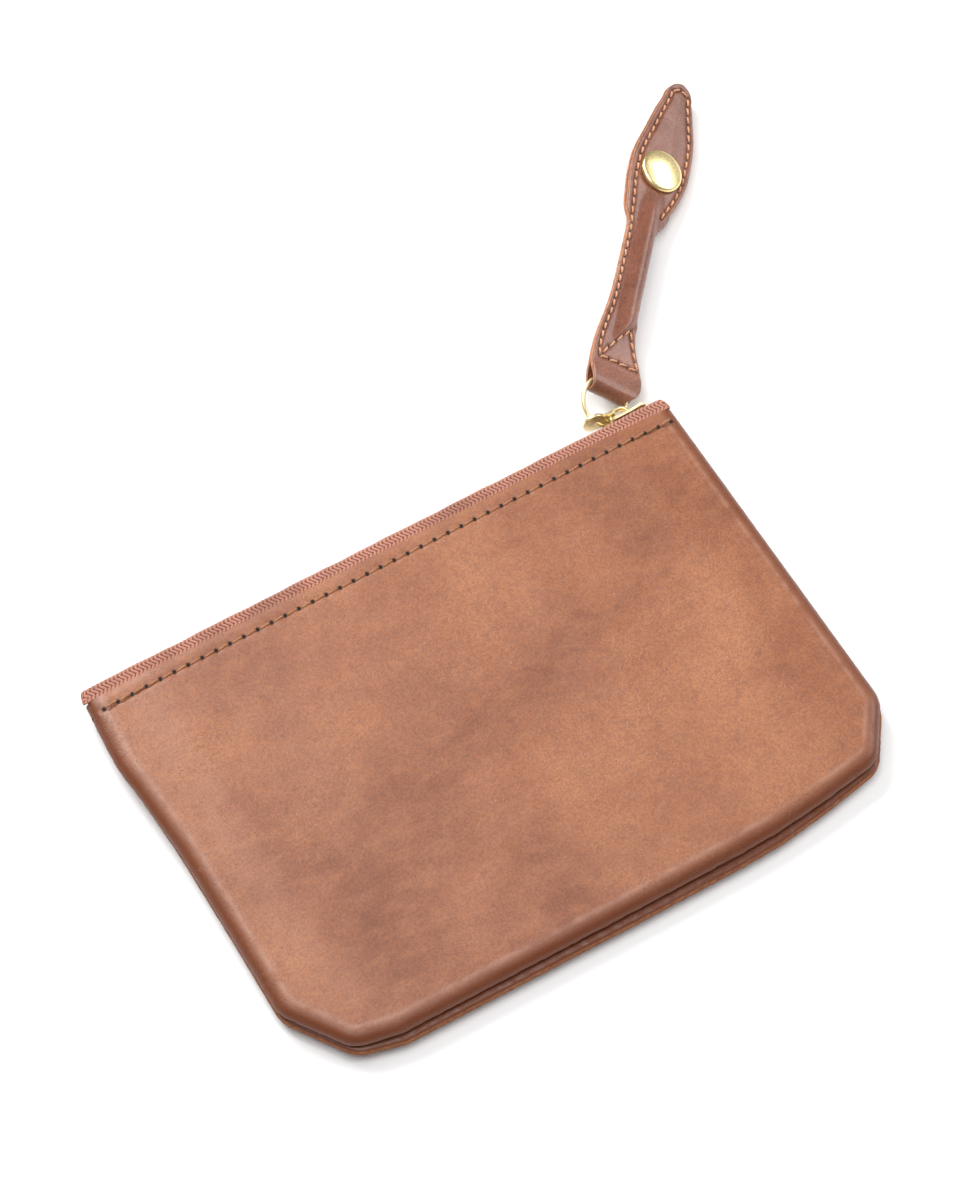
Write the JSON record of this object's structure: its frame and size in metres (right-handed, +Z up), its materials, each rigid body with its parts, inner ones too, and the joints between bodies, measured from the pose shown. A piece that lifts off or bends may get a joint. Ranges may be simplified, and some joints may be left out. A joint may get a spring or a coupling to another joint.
{
  "type": "zippered pouch",
  "caption": "Flat leather pouch closed by a brass zip, with a wire ring on the pull tab and a stitched leather strap that ends in a leaf with a snap fastener.",
  "frame": {"origin": "centre of the flat back that the pouch lies on, midway across the width", "axes": "+X along the zip towards the closed slider, +Y from the bottom seam to the zip, +Z up out of the front panel"},
  "size_m": [0.1899, 0.1705, 0.0098],
  "materials": {
    "panel_leather": "smooth pull-up leather, lightly waxed",
    "strap_leather": "smooth darker leather with raw cut edges",
    "lining": "plain woven cotton",
    "zip_tape": "herringbone woven tape",
    "thread": "waxed twisted thread",
    "cord": "twisted filler cord",
    "zip_brass": "pale polished brass",
    "snap_brass": "satin brass"
  },
  "bodies": {
    "pouch": {"back_panel": "panel_leather", "back_lining": "lining", "back_tape": "zip_tape", "back_teeth": "zip_brass", "back_zip_thread": "thread", "seam_thread": "thread", "side_tapes": "zip_tape", "side_teeth": "zip_brass", "top_stops": "zip_brass", "bottom_stop": "zip_brass"},
    "front": {"front_panel": "panel_leather", "front_lining": "lining", "front_tape": "zip_tape", "front_teeth": "zip_brass", "front_zip_thread": "thread"},
    "slider": {"slider_body": "zip_brass", "slider_crown": "zip_brass"},
    "pull": {"pull_tab": "zip_brass"},
    "ring": {"wire_ring": "zip_brass"},
    "strap_base": {"strap_tab": "strap_leather", "tab_thread": "thread", "snap_stud": "snap_brass", "snap_post": "snap_brass"},
    "neck": {"strap_neck": "strap_leather", "neck_cord": "cord", "neck_thread": "thread"},
    "leaf": {"strap_leaf": "strap_leather", "leaf_backing": "strap_leather", "leaf_thread": "thread", "snap_cap": "snap_brass", "snap_socket": "snap_brass"}
  },
  "joints": [
    {"name": "zip_slide", "type": "slide", "parent": "pouch", "child": "slider", "axis": [-1, 0, 0], "range_m": [0, 0.124]},
    {"name": "mouth_open", "type": "hinge", "parent": "pouch", "child": "front", "pos_m": [0, -0.0489, 0.0042], "axis": [1, 0, 0], "range_deg": [0, 9]},
    {"name": "pull_swing", "type": "hinge", "parent": "slider", "child": "pull", "pos_m": [0.0593, 0.053, 0.0042], "axis": [0, 0, -1], "range_deg": [0, 10]},
    {"name": "ring_turn", "type": "hinge", "parent": "pull", "child": "ring", "pos_m": [0.05915, 0.05666, 0.00487], "axis": [0.2402, -0.5483, 0.8011], "range_deg": [-5, 12]},
    {"name": "strap_turn", "type": "hinge", "parent": "ring", "child": "strap_base", "pos_m": [0.05915, 0.05666, 0.00487], "axis": [0.2402, -0.5483, 0.8011], "range_deg": [-5, 12]},
    {"name": "neck_flex", "type": "hinge", "parent": "strap_base", "child": "neck", "pos_m": [0.07442, 0.07034, 0.00763], "axis": [0.6449, -0.5781, -0.5], "range_deg": [0, 35]},
    {"name": "leaf_flex", "type": "hinge", "parent": "neck", "child": "leaf", "pos_m": [0.09185, 0.0899, 0.0075], "axis": [0.6449, -0.5781, -0.5], "range_deg": [0, 35]}
  ]
}
